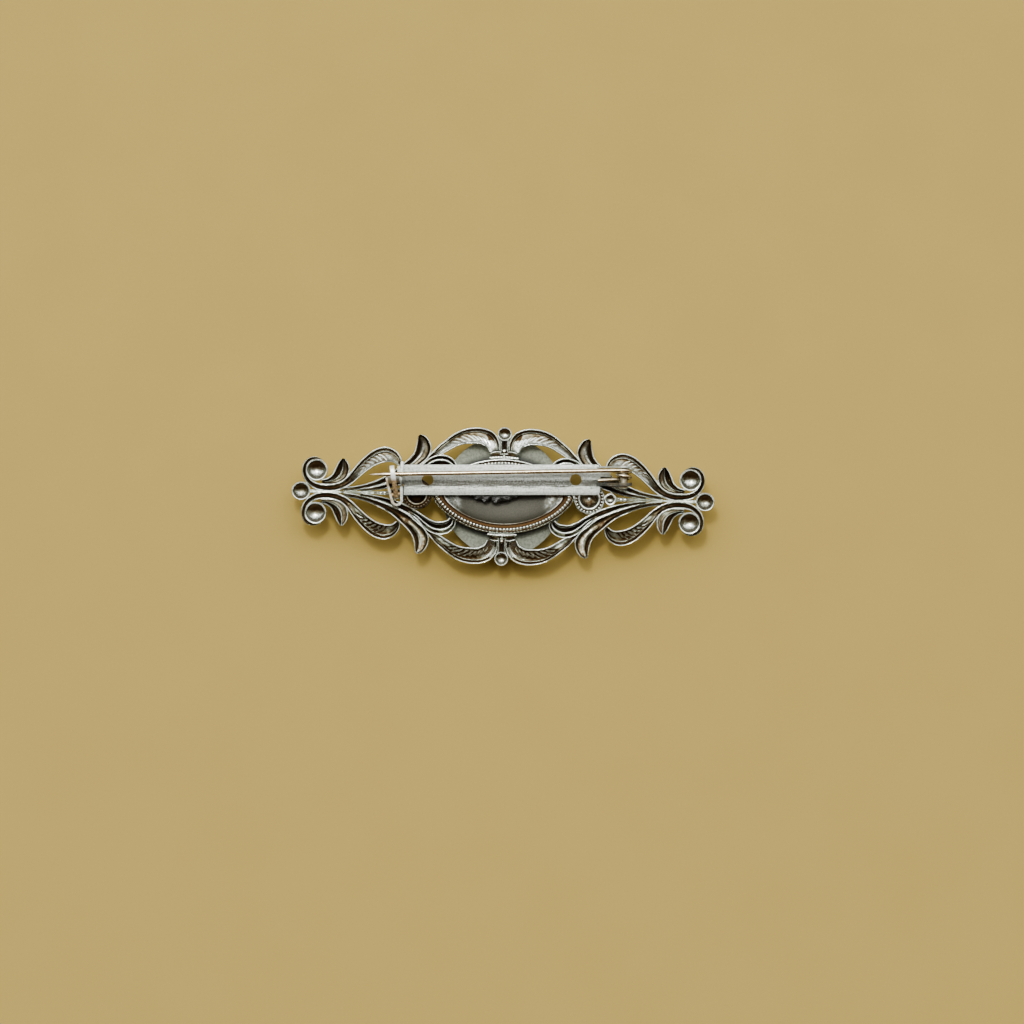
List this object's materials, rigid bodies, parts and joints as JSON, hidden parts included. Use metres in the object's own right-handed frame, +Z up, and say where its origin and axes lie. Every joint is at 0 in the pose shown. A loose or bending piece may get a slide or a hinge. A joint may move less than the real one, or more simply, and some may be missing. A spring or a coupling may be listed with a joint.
{
  "type": "openwork bar brooch",
  "caption": "Long openwork scroll brooch in stamped white metal, lying face down: round disc on the front, flat bar with a hinged pin wire and a turning safety catch on the back.",
  "frame": {"origin": "under the middle of the brooch, on the surface that the disc's face rests on", "axes": "+X along the bar towards the hinge, +Y towards the edge of the bar that the wire runs along, +Z up out of the back of the brooch"},
  "size_m": [0.0656, 0.0216, 0.0086],
  "materials": {
    "ornament": "bright stamped white metal, brown tarnish in the hollows",
    "disc": "matte, fine grained, pale grey-green",
    "bond": "dark glossy bonding compound",
    "bar": "satin nickel plate with fine grain",
    "rivet": "satin",
    "wire": "bright drawn wire, slightly warm",
    "lock": "bright, brown at its root"
  },
  "bodies": {
    "brooch": {"ornament": "ornament", "front_disc": "disc", "bond_pad": "bond", "bar": "bar", "hinge_rivet": "rivet"},
    "pin": {"pin_wire": "wire"},
    "lock": {"safety_lock": "lock"}
  },
  "joints": [
    {"name": "pin_lift", "type": "hinge", "parent": "brooch", "child": "pin", "pos_m": [0.0187, 0.0034, 0.0069], "axis": [0, 1, 0], "range_deg": [0, 120]},
    {"name": "lock_turn", "type": "hinge", "parent": "brooch", "child": "lock", "pos_m": [-0.01656, 0.00033, 0.0066], "axis": [0.9903, 0.1392, 0], "range_deg": [0, 90]}
  ]
}
